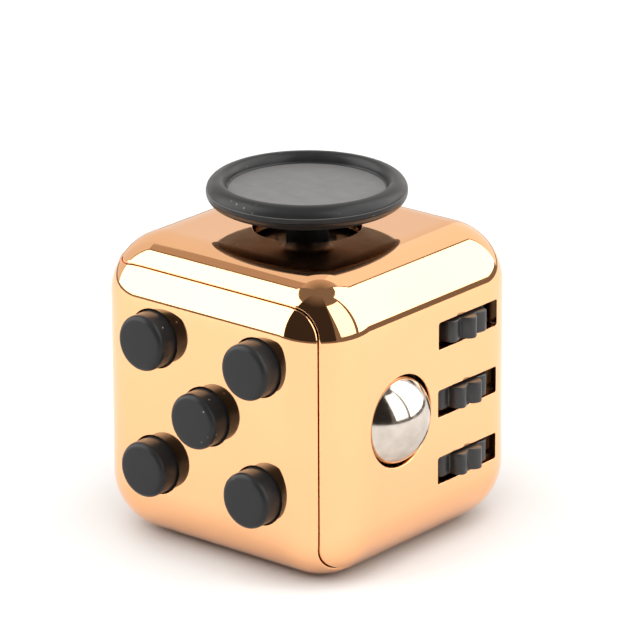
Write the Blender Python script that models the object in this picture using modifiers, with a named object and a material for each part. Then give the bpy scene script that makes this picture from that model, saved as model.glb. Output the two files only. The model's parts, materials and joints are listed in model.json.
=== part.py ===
"""Fidget cube: a plated plastic cube with a toy on each face.

The case is two shells, each of three faces that meet at a corner, joined along a seam that zigzags round six
edges. Front (-Y): five push buttons. Right (+X): a steel ball and three thumb wheels. Top (+Z): a sliding
stick. Left (-X): a dial. Back (+Y): a rocker. Bottom (-Z): a thumb dish, on whose rim the cube stands.

The origin is on the ground under the middle of the cube, +Z is up, and lengths are in metres.
"""

import math

import bmesh
import bpy
from mathutils import Matrix, Vector

mm = 0.001

# Case
BODY = 34 * mm
HALF = BODY / 2
EDGE_RADIUS = 6.8 * mm
WALL = 1.6 * mm
INNER = HALF - WALL
CENTRE = Vector((0, 0, HALF))
SEAM_SHIFT = -0.58 * mm
SEAM_GAP = 0.1 * mm
SEAM_CORNER = 6 * mm
LIP_SKIN = 0.75 * mm
LIP_LENGTH = 0.9 * mm
WEDGE_REACH = 30 * mm
EDGE_STEPS = 5
INNER_STEPS = 3

# Fasteners
BOSS_R = 1.7 * mm
SHANK_R = 0.8 * mm
PILOT_R = 0.9 * mm
CLEAR_R = 1.0 * mm
HEAD_R = 1.5 * mm
HEAD_T = 1.0 * mm
GAP = 0.1 * mm

# Front: push buttons
BUTTON_PITCH = 14.4 * mm
BUTTON_R = 3.1 * mm
BUTTON_HOLE_R = 3.3 * mm
BUTTON_OUT = 2.4 * mm
BUTTON_FLANGE_R = 3.9 * mm
BOARD_FRONT = -9.7 * mm
BOARD_T = 1.0 * mm
SWITCH_SIDE = 5.2 * mm
SWITCH_DEEP = 2.9 * mm
BOARD_SCREW_UP = 8.0 * mm

# Right: ball and thumb wheels
BALL_R = 5.5 * mm
BALL_AT = Vector((14.0, -4.95, 17.0)) * mm
BALL_HOLE_R = 5.1 * mm
BALL_GAP = 0.15 * mm
CUP_R = 6.1 * mm
CUP_RIM = -1.8 * mm
CUP_GAP = 0.2 * mm
WHEEL_R = 5.0 * mm
WHEEL_ROOT_R = 4.1 * mm
WHEEL_T = 2.4 * mm
WHEEL_TEETH = 11
WHEEL_PITCH = 7.67 * mm
WHEEL_AXIS = Vector((13.15, 6.52)) * mm
WHEEL_PHASES = (-4, 10, 12)
SLOT_WIDE = 10.2 * mm
SLOT_HIGH = 3.0 * mm
AXLE_R = 0.9 * mm
BRACKET_X = 4.6 * mm
BRACKET_T = 1.0 * mm
BRACKET_LOW = 6.5 * mm
BRACKET_HIGH = 27.5 * mm
POCKET_FLOOR = 3.9 * mm
POCKET_RIM = 10.0 * mm
ARM_T = 1.2 * mm
BRACKET_SCREW_UP = 8.9 * mm

# Top: sliding stick
STICK_R = 10.9 * mm
RIM_R = 1.35 * mm
RIM_INSIDE = 0.85 * mm
RIM_Z = 4.05 * mm
STICK_FLOOR = 4.25 * mm
STICK_UNDER = 2.75 * mm
POST_R = 2.3 * mm
STICK_HOLE_R = 5.9 * mm
FOOT_R = 9.0 * mm
GLIDE_SCREW_AT = 11.4 * mm

# Left: dial
DIAL_R = 9.0 * mm
DIAL_RECESS_R = 9.3 * mm
DIAL_FLOOR_R = 10.8 * mm
DIAL_FLOOR_IN = 13.9 * mm
DIAL_TOP = 18.0 * mm
DIAL_NUB_R = 2.3 * mm
DIAL_NUB_AT = 5.4 * mm

# Back: rocker
PIVOT = Vector((0, 13.6, 17.0)) * mm
ROCKER_WIDE = 6.0 * mm
ROCKER_HALF = 6.0 * mm
ROCKER_TILT = math.radians(-12)
WINDOW_WIDE = 6.5 * mm
WINDOW_HIGH = 14.2 * mm
CHEEK_IN = 3.3 * mm
CHEEK_OUT = 4.2 * mm
FRAME_BASE = 7.6 * mm
FRAME_T = 1.0 * mm
FRAME_HALF_HIGH = 10.4 * mm
FRAME_SCREW_UP = 8.9 * mm
PIN_R = 0.7 * mm

# Bottom: thumb dish
DISH_R = 9.0 * mm
DISH_DEEP = 1.8 * mm

UP, FRONT, BACK = Vector((0, 0, 1)), Vector((0, -1, 0)), Vector((0, 1, 0))
RIGHT, LEFT, DOWN = Vector((1, 0, 0)), Vector((-1, 0, 0)), Vector((0, 0, -1))


# Helpers


def clear_scene():
    for obj in list(bpy.data.objects):
        bpy.data.objects.remove(obj)


def new_collection(name):
    collection = bpy.data.collections.new(name)
    bpy.context.scene.collection.children.link(collection)
    return collection


def new_material(name, colour, roughness, metallic):
    made = bpy.data.materials.new(name)
    made.use_nodes = True
    shader = made.node_tree.nodes["Principled BSDF"]
    shader.inputs["Base Color"].default_value = (*colour, 1)
    shader.inputs["Roughness"].default_value = roughness
    shader.inputs["Metallic"].default_value = metallic
    return made


clear_scene()
PARTS = new_collection("fidget_cube")
CUTTERS = new_collection("cutters")
GOLD = new_material("plated_plastic", (0.92, 0.62, 0.36), 0.06, 1.0)
RUBBER = new_material("black_rubber", (0.035, 0.035, 0.037), 0.55, 0.0)
BLACK = new_material("black_plastic", (0.03, 0.03, 0.033), 0.4, 0.0)
STEEL = new_material("polished_steel", (0.78, 0.78, 0.78), 0.12, 1.0)
WHITE = new_material("white_plastic", (0.75, 0.74, 0.7), 0.45, 0.0)
BOARD = new_material("circuit_board", (0.05, 0.22, 0.1), 0.5, 0.0)


def add(name, data, material):
    """A new object of this data. With a material it is a piece; without one it is a cutter."""
    obj = bpy.data.objects.new(name, data)
    if material:
        if not data.materials:
            data.materials.append(material)
        PARTS.objects.link(obj)
    else:
        CUTTERS.objects.link(obj)
        obj.hide_render = True
        obj.display_type = "WIRE"
    return obj


def place(obj, at=(0, 0, 0), along=UP):
    """Puts the object's origin at a point and turns its own +Z to a direction."""
    obj.location = at
    obj.rotation_euler = Vector(along).to_track_quat("Z", "Y").to_euler()
    return obj


def box(name, low, high, material=None):
    low, high = Vector(low), Vector(high)
    bm = bmesh.new()
    size = Matrix.Diagonal((*(high - low), 1))
    bmesh.ops.create_cube(bm, size=1, matrix=Matrix.Translation((low + high) / 2) @ size)
    mesh = bpy.data.meshes.new(name)
    bm.to_mesh(mesh)
    bm.free()
    return add(name, mesh, material)


def cylinder(name, radius, start, along, length, material=None, segments=16):
    """A cylinder from the point start, as long as length, in the direction along."""
    bm = bmesh.new()
    bmesh.ops.create_cone(
        bm,
        cap_ends=True,
        segments=segments,
        radius1=radius,
        radius2=radius,
        depth=length,
        matrix=Matrix.Translation((0, 0, length / 2)),
    )
    mesh = bpy.data.meshes.new(name)
    bm.to_mesh(mesh)
    bm.free()
    mesh.shade_smooth()
    mesh.set_sharp_from_angle(angle=math.radians(40))
    return place(add(name, mesh, material), start, along)


def turned(name, profile, material=None, at=(0, 0, 0), along=UP, steps=24, ring=False):
    """A profile of (radius, height) points turned round +Z. A ring's profile closes on itself, clear of the axis."""
    count = len(profile)
    edges = [(i, i + 1) for i in range(count - 1)]
    if ring:
        edges.append((count - 1, 0))
    mesh = bpy.data.meshes.new(name)
    mesh.from_pydata([(r, 0, z) for r, z in profile], edges, [])
    obj = add(name, mesh, material)
    screw = obj.modifiers.new("turn", "SCREW")
    screw.axis = "Z"
    screw.steps = screw.render_steps = steps
    screw.use_merge_vertices = True
    screw.merge_threshold = 1e-5
    return place(obj, at, along)


def arc(centre, radius, start, end, count):
    """Points of a profile along an arc, with angles in degrees from the +radius direction."""
    angles = [math.radians(start + (end - start) * i / (count - 1)) for i in range(count)]
    return [(centre[0] + radius * math.cos(a), centre[1] + radius * math.sin(a)) for a in angles]


def outline(name, loops, thickness, material=None):
    """A flat piece in the local XY plane: the first loop is its edge, and any others are holes."""
    curve = bpy.data.curves.new(name, "CURVE")
    curve.dimensions = "2D"
    curve.fill_mode = "BOTH"
    curve.extrude = thickness / 2
    for loop in loops:
        spline = curve.splines.new("POLY")
        spline.points.add(len(loop) - 1)
        spline.use_cyclic_u = True
        for point, (x, y) in zip(spline.points, loop):
            point.co = (x, y, 0, 1)
    return add(name, curve, material)


def as_mesh(obj):
    """The object with its modifiers applied, or its curve turned into a mesh with welded caps."""
    bpy.context.view_layer.update()
    graph = bpy.context.evaluated_depsgraph_get()
    mesh = bpy.data.meshes.new_from_object(obj.evaluated_get(graph))
    bm = bmesh.new()
    bm.from_mesh(mesh)
    bmesh.ops.remove_doubles(bm, verts=bm.verts, dist=1e-6)
    bm.to_mesh(mesh)
    bm.free()
    if obj.type == "MESH":
        obj.modifiers.clear()
        obj.data = mesh
        return obj
    name, collection, matrix = obj.name, obj.users_collection[0], obj.matrix_world.copy()
    bpy.data.objects.remove(obj)
    made = bpy.data.objects.new(name, mesh)
    collection.objects.link(made)
    made.hide_render = collection == CUTTERS
    made.matrix_world = matrix
    return made


def boolean(target, tool, operation):
    """Applies one Boolean to the target, and removes the tool."""
    if tool.type != "MESH" or tool.modifiers:
        tool = as_mesh(tool)
    modifier = target.modifiers.new(operation.lower(), "BOOLEAN")
    modifier.operation = operation
    modifier.object = tool
    as_mesh(target)
    bpy.data.objects.remove(tool)
    return target


def cut(target, *tools):
    for tool in tools:
        boolean(target, tool, "DIFFERENCE")
    return target


def join(target, *pieces):
    for piece in pieces:
        boolean(target, piece, "UNION")
    return target


def smooth(obj, degrees=40):
    obj.data.shade_smooth()
    obj.data.set_sharp_from_angle(angle=math.radians(degrees))
    return obj


def ring_of(radius, count, phase=0.0):
    """Points round a circle in XY."""
    turns = [phase + 2 * math.pi * i / count for i in range(count)]
    return [(radius * math.cos(a), radius * math.sin(a)) for a in turns]


def coil(name, radii, wire_r, length, turns, at, along, per_turn=10):
    """A coil spring from a point in a direction, its radius going from radii[0] to radii[1]."""
    curve = bpy.data.curves.new(name, "CURVE")
    curve.dimensions = "3D"
    curve.bevel_depth = wire_r
    curve.bevel_resolution = 1
    curve.use_fill_caps = True
    spline = curve.splines.new("POLY")
    count = turns * per_turn
    spline.points.add(count)
    rise = length - 2 * wire_r
    for i, point in enumerate(spline.points):
        share = i / count
        angle = 2 * math.pi * i / per_turn
        radius = radii[0] + (radii[1] - radii[0]) * share
        height = wire_r + rise * share
        point.co = (radius * math.cos(angle), radius * math.sin(angle), height, 1)
    return place(add(name, curve, STEEL), at, along)


def screw_mesh(length):
    """A cross-head screw whose head sits on local z 0 and whose shank points down."""
    profile = [
        (0, HEAD_T),
        (0.7 * HEAD_R, HEAD_T),
        (HEAD_R, 0.6 * HEAD_T),
        (HEAD_R, 0),
        (SHANK_R, 0),
        (SHANK_R, -length + SHANK_R),
        (0, -length),
    ]
    obj = as_mesh(turned("screw", profile, STEEL, steps=10))
    arm, slot, deep = 0.85 * mm, 0.16 * mm, 0.5 * mm
    high = HEAD_T + deep
    cut(obj, box("recess", (-arm, -slot, HEAD_T - deep), (arm, slot, high)))
    cut(obj, box("recess", (-slot, -arm, HEAD_T - deep), (slot, arm, high)))
    mesh = smooth(obj).data
    bpy.data.objects.remove(obj)
    return mesh


def screw(name, mesh, at, along):
    """A screw driven in the direction along, with the underside of its head at a point."""
    return place(add(name, mesh, STEEL), at, -Vector(along))


# Case


def rounded_cube(name, half, radius, steps, material=None):
    obj = box(name, CENTRE - Vector((half,) * 3), CENTRE + Vector((half,) * 3), material)
    bevel = obj.modifiers.new("round", "BEVEL")
    bevel.width = radius
    bevel.segments = steps
    bevel.limit_method = "NONE"
    return as_mesh(obj)


def seam_loop():
    """The seam's closed line on a large cube round the case: six edges of the cube, with rounded corners."""
    signs = [(-1, -1, 1), (1, -1, 1), (1, -1, -1), (1, 1, -1), (-1, 1, -1), (-1, 1, 1)]
    corners = [WEDGE_REACH * Vector(s) for s in signs]
    points = []
    for i, corner in enumerate(corners):
        before = (corners[i - 1] - corner).normalized()
        after = (corners[(i + 1) % 6] - corner).normalized()
        middle = corner + SEAM_CORNER * (before + after)
        for step in range(4):
            a = math.radians(90 * step / 3)
            points.append(middle - SEAM_CORNER * (after * math.cos(a) + before * math.sin(a)))
    return points


def seam_wedge(shift):
    """Everything on the lower shell's side of the seam: a fan of faces from the middle of the case through the
    seam's line, closed by a fan from the far corner. The shift moves it towards the upper shell."""
    loop = seam_loop()
    far_corner = -WEDGE_REACH * Vector((1, 1, 1))
    bm = bmesh.new()
    middle = bm.verts.new((0, 0, 0))
    far = bm.verts.new(far_corner)
    rim = [bm.verts.new(p) for p in loop]
    for a, b in zip(rim, rim[1:] + rim[:1]):
        bm.faces.new((middle, a, b))
        bm.faces.new((far, b, a))
    bmesh.ops.recalc_face_normals(bm, faces=bm.faces)
    mesh = bpy.data.meshes.new("seam_wedge")
    bm.to_mesh(mesh)
    bm.free()
    mesh.transform(Matrix.Translation(CENTRE + Vector((shift, shift, shift))))
    return add("seam_wedge", mesh, None)


def lower_side(gap):
    """The lower shell's side with its lip, grown by the gap that the upper shell keeps to it."""
    shift = SEAM_SHIFT + gap / math.sqrt(2)
    lip = rounded_cube("lip", HALF - LIP_SKIN + gap, EDGE_RADIUS - LIP_SKIN, EDGE_STEPS)
    boolean(lip, seam_wedge(shift + LIP_LENGTH / math.sqrt(2)), "INTERSECT")
    return join(lip, seam_wedge(shift))


def case_shell(name, operation, gap):
    shell = rounded_cube(name, HALF, EDGE_RADIUS, EDGE_STEPS, GOLD)
    cut(shell, rounded_cube("hollow", INNER, EDGE_RADIUS - WALL, INNER_STEPS))
    return boolean(shell, lower_side(gap), operation)


def boss(start, along, length):
    return cylinder("boss", BOSS_R, start, along, length, segments=12)


def button_places():
    """Name, x and z of each button: four corners and the middle, as on a die."""
    half = BUTTON_PITCH / 2
    return [
        ("upper_left", -half, HALF + half),
        ("upper_right", half, HALF + half),
        ("center", 0, HALF),
        ("lower_left", -half, HALF - half),
        ("lower_right", half, HALF - half),
    ]


def wheel_places():
    """Name, z and phase of each thumb wheel, from the top."""
    rows = zip(("upper", "middle", "lower"), (1, 0, -1), WHEEL_PHASES)
    return [(name, HALF + row * WHEEL_PITCH, math.radians(phase)) for name, row, phase in rows]


def dish_profile():
    """The thumb dish: a shallow spherical hollow, closed below the ground for use as a cutter."""
    radius = (DISH_R**2 + DISH_DEEP**2) / (2 * DISH_DEEP)
    edge = math.degrees(math.acos(DISH_R / radius))
    hollow = arc((0, DISH_DEEP - radius), radius, 90, edge, 5)
    return hollow[:-1] + [(DISH_R, 0), (DISH_R, -2 * mm), (0, -2 * mm)]


def lower_shell():
    shell = case_shell("lower_half_shell", "INTERSECT", 0)
    for name, x, z in button_places():
        cut(shell, cylinder(name, BUTTON_HOLE_R, (x, -INNER + WALL / 2, z), FRONT, 3 * mm, segments=24))
    for side in (1, -1):
        z = HALF + side * BOARD_SCREW_UP
        length = INNER + BOARD_FRONT - GAP
        join(shell, boss((0, -INNER - WALL / 2, z), BACK, length + WALL / 2))
        cut(shell, cylinder("pilot", PILOT_R, (0, -INNER - 0.3 * mm, z), BACK, length + 1 * mm, segments=10))
    floor_start = (-INNER - 0.4 * mm, 0, HALF)
    join(shell, cylinder("floor", DIAL_FLOOR_R, floor_start, RIGHT, INNER + 0.4 * mm - DIAL_FLOOR_IN, segments=28))
    cut(shell, cylinder("recess", DIAL_RECESS_R, (-INNER, 0, HALF), LEFT, 4 * mm, segments=32))
    cut(shell, cylinder("axle_hole", 1.7 * mm, (-10 * mm, 0, HALF), LEFT, 8 * mm, segments=14))
    dome = [(r, z + WALL) for r, z in dish_profile()[:-3]] + [(DISH_R + 1 * mm, WALL), (DISH_R, 0.6 * mm)]
    join(shell, turned("dome", dome + [(0, 0.6 * mm)], steps=24))
    cut(shell, turned("dish", dish_profile(), steps=24))
    return smooth(shell)


def upper_shell():
    shell = case_shell("upper_half_shell", "DIFFERENCE", SEAM_GAP)
    cut(shell, cylinder("stick_hole", STICK_HOLE_R, (0, 0, INNER + HALF - 1 * mm), UP, 4 * mm, segments=32))
    seat_r = BALL_R + BALL_GAP
    seat = arc((0, 0), seat_r, math.degrees(math.acos(BALL_HOLE_R / seat_r)), 12, 4)
    hole = [(0, 6 * mm), (BALL_HOLE_R, 6 * mm), *seat, (0, seat[-1][1])]
    cut(shell, turned("ball_hole", hole, at=BALL_AT, along=RIGHT, steps=28))
    for name, z, _ in wheel_places():
        y = WHEEL_AXIS.y
        low = (12 * mm, y - SLOT_WIDE / 2, z - SLOT_HIGH / 2)
        cut(shell, box(name, low, (20 * mm, y + SLOT_WIDE / 2, z + SLOT_HIGH / 2)))
    window = (WINDOW_WIDE / 2, WINDOW_HIGH / 2)
    low = (-window[0], 12 * mm, HALF - window[1])
    cut(shell, box("window", low, (window[0], 20 * mm, HALF + window[1])))
    for side in (1, -1):
        z = HALF + side * BRACKET_SCREW_UP
        length = INNER - BRACKET_X - BRACKET_T - GAP
        join(shell, boss((INNER + WALL / 2, BALL_AT.y, z), LEFT, length + WALL / 2))
        cut(shell, cylinder("pilot", PILOT_R, (INNER - 3 * mm, BALL_AT.y, z), LEFT, length, segments=10))
        z = HALF + side * FRAME_SCREW_UP
        length = INNER - FRAME_BASE - GAP
        join(shell, boss((0, INNER + WALL / 2, z), FRONT, length + WALL / 2))
        cut(shell, cylinder("pilot", PILOT_R, (0, INNER - 1 * mm, z), FRONT, length, segments=10))
    for x, y in glide_screw_places():
        start = (x, y, HALF + INNER + 0.3 * mm)
        length = HALF + INNER + 0.3 * mm - GLIDE_BASE_TOP - GAP
        join(shell, boss(start, DOWN, length))
        cut(shell, cylinder("pilot", PILOT_R, (x, y, HALF + INNER - 0.2 * mm), DOWN, length, segments=10))
    return smooth(shell)


# Front: push buttons


def buttons(board_screw):
    """Five caps. Those on the left and in the middle press click switches; the right two press coil springs."""
    back = BUTTON_OUT + WALL + 0.3 * mm
    profile = [
        (0, BUTTON_OUT),
        *arc((BUTTON_R - 0.35 * mm, BUTTON_OUT - 0.35 * mm), 0.35 * mm, 90, 0, 3),
        (BUTTON_R, -WALL - 0.3 * mm),
        (BUTTON_FLANGE_R, -WALL - 0.3 * mm),
        (BUTTON_FLANGE_R, -WALL - 1.1 * mm),
    ]
    clicking = [*profile, (1.4 * mm, -WALL - 1.1 * mm), (1.4 * mm, -WALL - 1.9 * mm), (0, -WALL - 1.9 * mm)]
    quiet = [*profile, (1.1 * mm, -WALL - 1.1 * mm), (1.1 * mm, -WALL - 2.6 * mm), (0, -WALL - 2.6 * mm)]
    for name, x, z in button_places():
        springy = x > 0
        at = (x, -HALF, z)
        turned("button_" + name, quiet if springy else clicking, RUBBER, at, FRONT, steps=20)
        if springy:
            start = (x, -HALF + back - BUTTON_OUT + 0.8 * mm + GAP, z)
            length = BOARD_FRONT - start[1] - GAP
            coil("spring_" + name, (1.7 * mm, 1.7 * mm), 0.2 * mm, length, 4, start, BACK, per_turn=8)
        else:
            click_switch(name, x, z)
    click_board(board_screw)


def click_switch(name, x, z):
    """A square click switch on the board, and the round plunger that its button pushes in."""
    half = SWITCH_SIDE / 2
    front = BOARD_FRONT - SWITCH_DEEP
    body = box("switch_" + name, (x - half, front, z - half), (x + half, BOARD_FRONT - GAP, z + half), BLACK)
    cut(body, cylinder("bore", 1.75 * mm, (x, front - 1 * mm, z), BACK, 3 * mm, segments=20))
    smooth(body)
    length = 1.8 * mm
    start = (x, -HALF + WALL + 2.0 * mm, z)
    cylinder("plunger_" + name, 1.6 * mm, start, BACK, length, WHITE, segments=20)


def click_board(mesh):
    """The board behind the buttons, notched on the right for the ball's cup."""
    back = BOARD_FRONT + BOARD_T
    half_high = 9.6 * mm
    low = (-10 * mm, BOARD_FRONT, HALF - half_high)
    board = box("click_board", low, (9.2 * mm, back, HALF + half_high), BOARD)
    notch_half = 5.5 * mm
    low = (4.8 * mm, BOARD_FRONT - 1 * mm, HALF - notch_half)
    cut(board, box("notch", low, (12 * mm, back + 1 * mm, HALF + notch_half)))
    for name, side in (("upper", 1), ("lower", -1)):
        z = HALF + side * BOARD_SCREW_UP
        cut(board, cylinder("hole", CLEAR_R, (0, BOARD_FRONT - 1 * mm, z), BACK, 4 * mm, segments=12))
        screw("board_screw_" + name, mesh, (0, back + GAP, z), FRONT)


# Right: ball and thumb wheels


def ball_and_cup():
    bm = bmesh.new()
    bmesh.ops.create_uvsphere(bm, u_segments=24, v_segments=14, radius=BALL_R)
    mesh = bpy.data.meshes.new("ball")
    bm.to_mesh(mesh)
    bm.free()
    mesh.shade_smooth()
    place(add("ball", mesh, STEEL), BALL_AT)
    bowl = BALL_R + CUP_GAP
    rim = CUP_RIM
    edge = math.degrees(math.asin(rim / bowl))
    hollow = arc((0, 0), bowl, edge, -90, 7)
    floor = -bowl - 0.8 * mm
    profile = [*hollow[::-1], (CUP_R, rim), (CUP_R, floor), (0, floor)]
    turned("ball_cup", profile, BLACK, BALL_AT, RIGHT, steps=24)
    spring_top = BALL_AT.x + floor - GAP
    spring_base = POCKET_FLOOR + GAP
    start = (spring_base, BALL_AT.y, BALL_AT.z)
    coil("ball_spring", (3.4 * mm, 3.4 * mm), 0.25 * mm, spring_top - spring_base, 3, start, RIGHT)


def wheel_outline():
    """One round of teeth with sloping flanks."""
    pitch = 2 * math.pi / WHEEL_TEETH
    shape = ((WHEEL_ROOT_R, -0.34), (WHEEL_R * 0.975, -0.2), (WHEEL_R, -0.12))
    half_tooth = [*shape, *((r, -share) for r, share in shape[::-1])]
    points = []
    for tooth in range(WHEEL_TEETH):
        for radius, share in half_tooth:
            a = pitch * (tooth + share)
            points.append((radius * math.cos(a), radius * math.sin(a)))
    return points


def wheels():
    """Three thumb wheels on one axle, with a spacer between each two and a click leaf behind the upper one."""
    x, y = WHEEL_AXIS
    for name, z, phase in wheel_places():
        wheel = outline("wheel_" + name, [wheel_outline(), ring_of(AXLE_R + GAP, 16)], WHEEL_T, BLACK)
        wheel.location = (x, y, z)
        wheel.rotation_euler = (0, 0, phase)
    spacer_length = WHEEL_PITCH - WHEEL_T - 2 * GAP
    for name, row in (("upper", 1), ("lower", -1)):
        half = spacer_length / 2
        outer, inner = 1.9 * mm, AXLE_R + GAP
        profile = [(inner, half), (outer, half), (outer, -half), (inner, -half)]
        at = (x, y, HALF + row * WHEEL_PITCH / 2)
        turned("wheel_spacer_" + name, profile, WHITE, at, steps=16, ring=True)
    length = BRACKET_HIGH - BRACKET_LOW
    cylinder("wheel_axle", AXLE_R, (x, y, BRACKET_LOW), UP, length, STEEL)
    wheel_leaf()


def wheel_leaf():
    """A bent strip of spring steel: its bump sits in a valley of the upper wheel, so that the wheel clicks."""
    bends = [(5.85, 9.2), (5.85, 8.2), (8.63, 6.84), (6.6, 5.4)]
    half_high = 1.0 * mm
    z = HALF + WHEEL_PITCH
    bm = bmesh.new()
    edges = [
        (bm.verts.new((x * mm, y * mm, z - half_high)), bm.verts.new((x * mm, y * mm, z + half_high)))
        for x, y in bends
    ]
    for (a, b), (c, d) in zip(edges, edges[1:]):
        bm.faces.new((a, c, d, b))
    mesh = bpy.data.meshes.new("wheel_leaf")
    bm.to_mesh(mesh)
    bm.free()
    leaf = add("wheel_leaf", mesh, STEEL)
    solid = leaf.modifiers.new("thickness", "SOLIDIFY")
    solid.thickness = 0.25 * mm
    solid.offset = 0


def roll_bracket(mesh):
    """The frame behind the right face: it guides the ball's cup, backs its spring and carries the wheels' axle."""
    face = BRACKET_X + BRACKET_T
    low_y, high_y = -8.5 * mm, 9.4 * mm
    frame = box("roll_bracket", (BRACKET_X, low_y, BRACKET_LOW), (face, high_y, BRACKET_HIGH), WHITE)
    inner, outer = CUP_R + 0.15 * mm, CUP_R + 0.65 * mm
    pocket_back = POCKET_FLOOR - 0.8 * mm
    pocket_at = Vector((pocket_back, BALL_AT.y, BALL_AT.z))
    pocket = cylinder("pocket", outer, pocket_at, RIGHT, POCKET_RIM - pocket_back, segments=28)
    cut(pocket, box("front_of_pocket", (0, -20 * mm, 0), (20 * mm, low_y, BODY)))
    join(frame, pocket)
    pocket_at.x = POCKET_FLOOR
    cut(frame, cylinder("hollow", inner, pocket_at, RIGHT, 8 * mm, segments=28))
    x, y = WHEEL_AXIS
    for low in (BRACKET_LOW, BRACKET_HIGH - ARM_T):
        arm_start = (face - 0.3 * mm, y - 1.9 * mm, low)
        join(frame, box("arm", arm_start, (INNER - 0.3 * mm, y + 1.9 * mm, low + ARM_T)))
    hole_start = (x, y, BRACKET_LOW - 1 * mm)
    cut(frame, cylinder("axle_hole", AXLE_R + GAP, hole_start, UP, BRACKET_HIGH, segments=16))
    for name, side in (("upper", 1), ("lower", -1)):
        z = HALF + side * BRACKET_SCREW_UP
        start = (BRACKET_X - 1 * mm, BALL_AT.y, z)
        cut(frame, cylinder("hole", CLEAR_R, start, RIGHT, 3 * mm, segments=10))
        screw("bracket_screw_" + name, mesh, (BRACKET_X - GAP, BALL_AT.y, z), RIGHT)
    smooth(frame)


# Top: sliding stick

FOOT_TOP = 31.9 * mm
FOOT_LOW = 30.8 * mm
KEY_LOW = 29.95 * mm
KEY_HALF = (1.4 * mm, 2.6 * mm)
CARRIAGE_LOW = 30.0 * mm
CARRIAGE_HIGH = 30.6 * mm
CARRIAGE_HALF = (8.0 * mm, 6.6 * mm)
GLIDE_SLOT_HALF = (1.6 * mm, 5.4 * mm)
GLIDE_BASE_LOW = 27.7 * mm
GLIDE_BASE_TOP = 29.7 * mm
GLIDE_SHELF = 28.3 * mm
GLIDE_BASE_HALF = 12.7 * mm


def glide_screw_places():
    return [(sx * GLIDE_SCREW_AT, sy * GLIDE_SCREW_AT) for sx in (-1, 1) for sy in (-1, 1)]


def stick(mesh):
    """The thumb disc on its post, made as one piece and screwed to a wide foot under the case's wall."""
    rim = (STICK_R - RIM_R, RIM_Z)
    steeper = [math.radians(angle) for angle in (150, 115)]
    rim_inside = [(rim[0] + RIM_INSIDE * math.cos(a), rim[1] + RIM_R * math.sin(a)) for a in steeper]
    bore, bore_top, end = CLEAR_R, 1.5 * mm, -1.9 * mm
    profile = [
        (0, STICK_FLOOR),
        (rim[0] - RIM_INSIDE, STICK_FLOOR),
        *rim_inside,
        *arc(rim, RIM_R, 90, -90, 8),
        (5.2 * mm, STICK_UNDER),
        (POST_R, STICK_UNDER - 0.4 * mm),
        (POST_R, end),
        (bore, end),
        (bore, bore_top),
        (0, bore_top),
    ]
    turned("stick_cap", profile, RUBBER, (0, 0, BODY), steps=32)
    disc = [(0, FOOT_TOP), (FOOT_R, FOOT_TOP), (FOOT_R, FOOT_LOW), (0, FOOT_LOW)]
    foot = as_mesh(turned("stick_foot", disc, BLACK, steps=28))
    low = (-KEY_HALF[0], -KEY_HALF[1], KEY_LOW)
    join(foot, box("key", low, (KEY_HALF[0], KEY_HALF[1], FOOT_LOW + 0.3 * mm)))
    cut(foot, cylinder("bore", PILOT_R, (0, 0, KEY_LOW - 1 * mm), UP, 5 * mm, segments=16))
    smooth(foot)
    screw("stick_screw", mesh, (0, 0, KEY_LOW - GAP), UP)


def glide(mesh):
    """The cross slide under the stick: the carriage runs left and right on the base, and the foot's key runs
    front and back in the carriage's slot."""
    low = (-CARRIAGE_HALF[0], -CARRIAGE_HALF[1], CARRIAGE_LOW)
    carriage = box("glide_carriage", low, (CARRIAGE_HALF[0], CARRIAGE_HALF[1], CARRIAGE_HIGH), WHITE)
    slot_low = (-GLIDE_SLOT_HALF[0], -GLIDE_SLOT_HALF[1], CARRIAGE_LOW - 1 * mm)
    cut(carriage, box("slot", slot_low, (GLIDE_SLOT_HALF[0], GLIDE_SLOT_HALF[1], CARRIAGE_HIGH + 1 * mm)))
    half = GLIDE_BASE_HALF
    base = box("glide_base", (-half, -half, GLIDE_BASE_LOW), (half, half, GLIDE_BASE_TOP), WHITE)
    rail_in, rail_out, rail_half = CARRIAGE_HALF[1] + 0.2 * mm, CARRIAGE_HALF[1] + 1.4 * mm, 11 * mm
    for side in (1, -1):
        ends = sorted((side * rail_in, side * rail_out))
        rail_low = (-rail_half, ends[0], GLIDE_BASE_TOP - 0.3 * mm)
        join(base, box("rail", rail_low, (rail_half, ends[1], CARRIAGE_HIGH)))
    cut(base, cylinder("opening", 5.6 * mm, (0, 0, GLIDE_SHELF), UP, 3 * mm, segments=24))
    cut(base, cylinder("through", 3.9 * mm, (0, 0, GLIDE_BASE_LOW - 1 * mm), UP, 3 * mm, segments=20))
    for number, (x, y) in enumerate(glide_screw_places(), 1):
        cut(base, cylinder("hole", CLEAR_R, (x, y, GLIDE_BASE_LOW - 1 * mm), UP, 4 * mm, segments=10))
        screw(f"glide_screw_{number}", mesh, (x, y, GLIDE_BASE_LOW - GAP), UP)
    smooth(base)
    length = KEY_LOW - GLIDE_SHELF - 3 * GAP
    coil("glide_spring", (4.9 * mm, 2.1 * mm), 0.2 * mm, length, 3, (0, 0, GLIDE_SHELF + GAP), UP)


# Left: dial


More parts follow.
